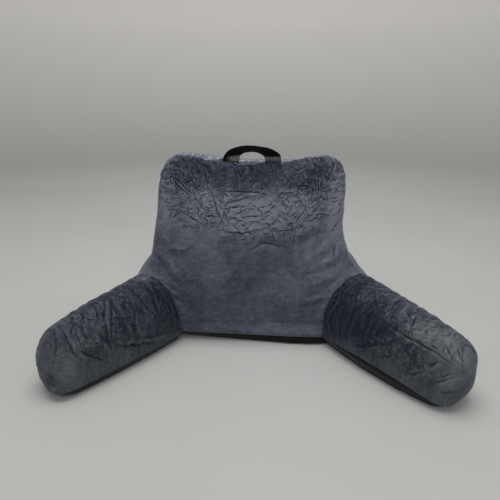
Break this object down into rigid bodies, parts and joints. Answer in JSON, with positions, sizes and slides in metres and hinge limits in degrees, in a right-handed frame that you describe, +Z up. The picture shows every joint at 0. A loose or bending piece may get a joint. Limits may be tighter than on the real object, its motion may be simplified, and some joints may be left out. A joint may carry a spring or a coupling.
{
  "type": "reading pillow with arms",
  "caption": "Reading pillow in short-pile velvet: a filled wedge backrest with soft top corners, two splayed bolster arms and a carry strap loop.",
  "frame": {"origin": "the middle of the backrest's flat underside, on the surface that the pillow stands on", "axes": "+Z up, the front of the backrest and the arms' tips towards -Y, +X to the right as seen from in front"},
  "size_m": [0.8711, 0.5024, 0.4534],
  "materials": {
    "backrest_velvet": "dark slate blue-grey short-pile velvet, crushed and creased",
    "arm_velvet": "dark slate blue-grey short-pile velvet, crushed and creased",
    "strap_velvet": "dark slate blue-grey short-pile velvet"
  },
  "bodies": {
    "root": {"backrest": "backrest_velvet", "arm_left": "arm_velvet", "arm_right": "arm_velvet", "carry_strap": "strap_velvet"}
  },
  "joints": []
}
